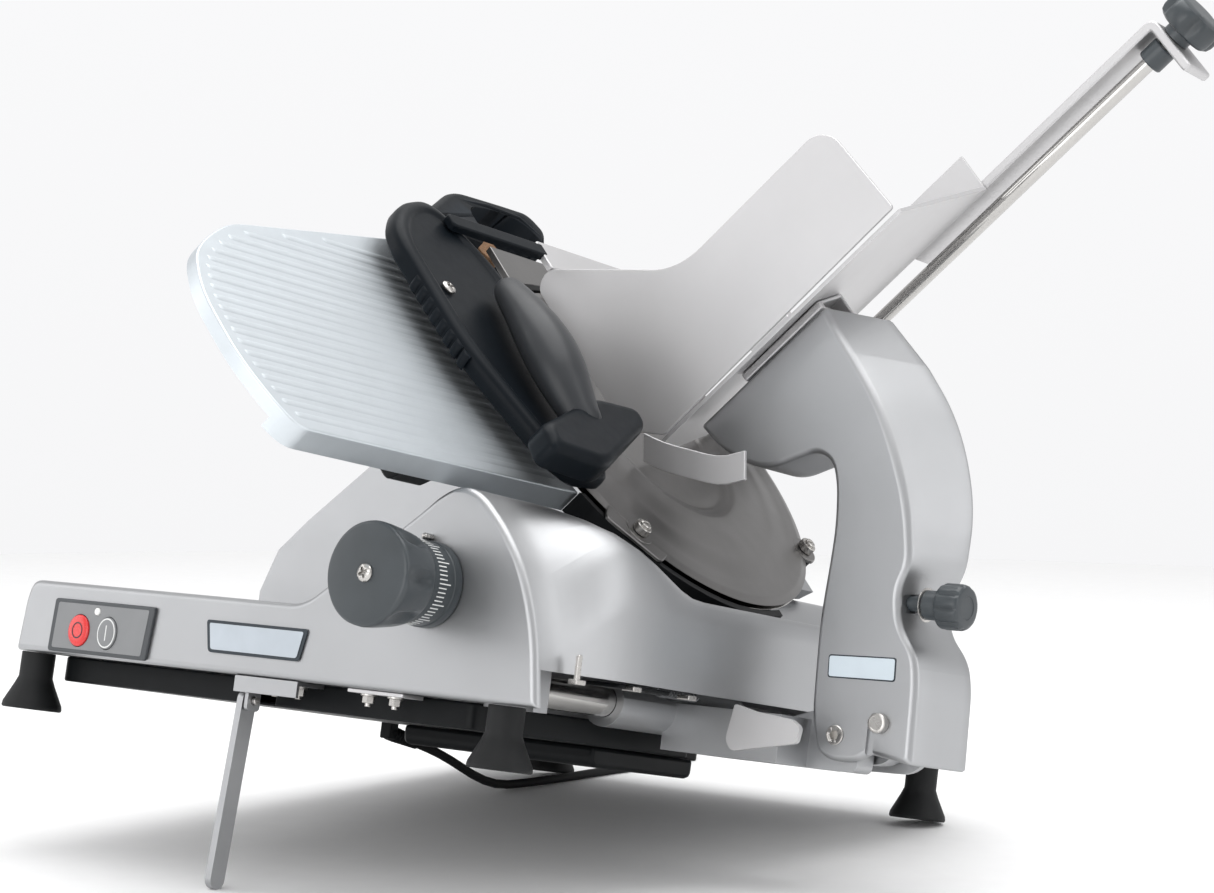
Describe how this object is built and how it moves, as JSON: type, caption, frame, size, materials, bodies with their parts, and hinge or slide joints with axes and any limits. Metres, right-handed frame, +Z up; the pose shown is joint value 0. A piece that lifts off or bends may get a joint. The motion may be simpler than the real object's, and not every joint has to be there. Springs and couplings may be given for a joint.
{
  "type": "gravity-feed deli meat slicer",
  "caption": "Gravity-feed slicer with an angled round knife, sliding carriage and product tray, gauge plate, meat grip, index knob and switches, propped on its cleaning leg.",
  "frame": {"origin": "middle of the box round the machine without its cord, on the surface it stands on", "axes": "+X to the operator's right, +Y away from the operator, +Z up; the machine is leaned back about X onto its rear feet and cleaning leg"},
  "size_m": [0.7886, 0.936, 0.6902],
  "materials": {
    "cast_aluminium": "satin",
    "sheet_aluminium": "satin",
    "gauge_aluminium": "satin",
    "cover_steel": "satin",
    "polished_steel": "polished",
    "screw_steel": "satin",
    "motor_iron": "matte",
    "black_rubber": "matte",
    "black_plastic": "satin",
    "grip_plastic": "satin",
    "handle_plastic": "satin",
    "knob_plastic": "satin",
    "grey_plastic": "satin",
    "red_plastic": "gloss",
    "lens": "gloss",
    "grinding_stone": "matte"
  },
  "bodies": {
    "base": {"base_casting": "cast_aluminium", "motor_housing": "cast_aluminium", "bottom_pan": "black_plastic", "control_box": "black_plastic", "foot_front_left": "black_rubber", "foot_front_right": "black_rubber", "foot_rear_left": "black_rubber", "foot_rear_right": "black_rubber", "switch_plate": "grey_plastic", "indicator_lamp": "lens", "leg_bracket": "cast_aluminium", "leg_pin": "screw_steel", "index_pointer": "screw_steel", "ring_guard": "black_plastic", "knife_bearing": "screw_steel", "knife_cover": "cover_steel", "motor": "motor_iron", "drive_belt": "black_rubber", "sharpener_bracket": "cover_steel", "rod_support_front": "cast_aluminium", "rod_support_rear": "cast_aluminium", "slide_rod": "polished_steel", "cord_gland": "black_plastic", "power_cord": "black_rubber", "cord_coil": "black_rubber", "power_plug": "black_plastic"},
    "stop_button": {"stop_button": "red_plastic"},
    "start_button": {"start_button": "grey_plastic"},
    "cleaning_leg": {"cleaning_leg": "cast_aluminium"},
    "index_control": {"index_dial": "black_plastic", "index_knob": "knob_plastic"},
    "gauge": {"gauge_plate": "gauge_aluminium", "gauge_bracket": "black_plastic"},
    "knife": {"knife": "polished_steel", "knife_spindle": "screw_steel"},
    "motor_pulley": {"motor_pulley": "screw_steel"},
    "cover_screw_front": {"cover_screw_front": "screw_steel"},
    "cover_screw_rear": {"cover_screw_rear": "screw_steel"},
    "sharpener": {"sharpener_housing": "black_plastic"},
    "stone": {"grinding_stone": "grinding_stone"},
    "carriage": {"transport_block": "cast_aluminium", "beam_deflector": "sheet_aluminium"},
    "arm": {"carriage_arm": "cast_aluminium", "arm_pivot_pin": "screw_steel", "product_wall": "sheet_aluminium", "tray_bed": "sheet_aluminium", "tray_bracket": "sheet_aluminium", "finger_guard": "sheet_aluminium", "guide_bar": "sheet_aluminium", "grip_rod": "polished_steel", "rod_collar": "knob_plastic"},
    "latch_pin": {"latch_pin": "screw_steel"},
    "release_knob": {"release_knob": "knob_plastic"},
    "end_knob": {"end_knob": "knob_plastic"},
    "grip_carrier": {"grip_slide_block": "grip_plastic"},
    "grip": {"grip_arm": "sheet_aluminium", "grip_plate": "grip_plastic", "grip_handle": "handle_plastic", "grip_guard": "handle_plastic"}
  },
  "joints": [
    {"name": "stop_press", "type": "slide", "parent": "base", "child": "stop_button", "axis": [0, 0.9824, -0.1866], "range_m": [0, 0.0025], "stiffness_N_per_m": 400, "springref_m": -0.0015},
    {"name": "start_press", "type": "slide", "parent": "base", "child": "start_button", "axis": [0, 0.9824, -0.1866], "range_m": [0, 0.0025], "stiffness_N_per_m": 400, "springref_m": -0.0015},
    {"name": "leg_fold", "type": "hinge", "parent": "base", "child": "cleaning_leg", "pos_m": [-0.12479, -0.22293, 0.13834], "axis": [1, 0, 0], "range_deg": [0, 85]},
    {"name": "index_turn", "type": "hinge", "parent": "base", "child": "index_control", "pos_m": [0.05221, -0.21859, 0.23625], "axis": [0, 0.9824, -0.1866], "range_deg": [0, 300]},
    {"name": "gauge_travel", "type": "slide", "parent": "base", "child": "gauge", "axis": [-0.729, -0.1277, -0.6725], "range_m": [0, 0.022]},
    {"name": "knife_spin", "type": "hinge", "parent": "base", "child": "knife", "pos_m": [0.02021, 0.09024, 0.32417], "axis": [0.729, 0.1277, 0.6725], "continuous": true},
    {"name": "motor_spin", "type": "hinge", "parent": "base", "child": "motor_pulley", "pos_m": [-0.02326, 0.1883, 0.27237], "axis": [0.729, 0.1277, 0.6725], "continuous": true},
    {"name": "cover_screw_front_turn", "type": "hinge", "parent": "base", "child": "cover_screw_front", "pos_m": [0.09979, -0.03353, 0.26736], "axis": [0.729, 0.1277, 0.6725], "continuous": true},
    {"name": "cover_screw_rear_turn", "type": "hinge", "parent": "base", "child": "cover_screw_rear", "pos_m": [0.08336, 0.21239, 0.23846], "axis": [0.729, 0.1277, 0.6725], "continuous": true},
    {"name": "sharpener_lift", "type": "slide", "parent": "base", "child": "sharpener", "axis": [-0.6845, 0.136, 0.7162], "range_m": [0, 0.04]},
    {"name": "stone_spin", "type": "hinge", "parent": "sharpener", "child": "stone", "pos_m": [-0.15911, 0.08429, 0.47506], "axis": [0.729, 0.1277, 0.6725], "continuous": true},
    {"name": "carriage_travel", "type": "slide", "parent": "base", "child": "carriage", "axis": [0, 0.9824, -0.1866], "range_m": [-0.085, 0.228]},
    {"name": "arm_tilt", "type": "hinge", "parent": "carriage", "child": "arm", "pos_m": [0.24721, 0.04165, 0.11659], "axis": [0, 0.9824, -0.1866], "range_deg": [0, 40]},
    {"name": "latch_pull", "type": "slide", "parent": "arm", "child": "latch_pin", "axis": [0, -0.9824, 0.1866], "range_m": [0, 0.008]},
    {"name": "release_turn", "type": "hinge", "parent": "arm", "child": "release_knob", "pos_m": [0.30321, 0.04801, 0.21972], "axis": [1, 0, 0], "range_deg": [0, 90]},
    {"name": "end_knob_turn", "type": "hinge", "parent": "arm", "child": "end_knob", "pos_m": [0.36255, 0.33611, 0.66474], "axis": [0.729, 0.1277, 0.6725], "continuous": true},
    {"name": "grip_slide", "type": "slide", "parent": "arm", "child": "grip_carrier", "axis": [0.729, 0.1277, 0.6725], "range_m": [0, 0.26]},
    {"name": "grip_swing", "type": "hinge", "parent": "grip_carrier", "child": "grip", "pos_m": [0.03451, 0.27863, 0.36211], "axis": [0.729, 0.1277, 0.6725], "range_deg": [-60, 0]}
  ],
  "couplings": [
    {"joint": "index_turn", "follows": "gauge_travel", "rad_per_m": 237.98},
    {"joint": "motor_spin", "follows": "knife_spin", "ratio": 2.8125}
  ]
}
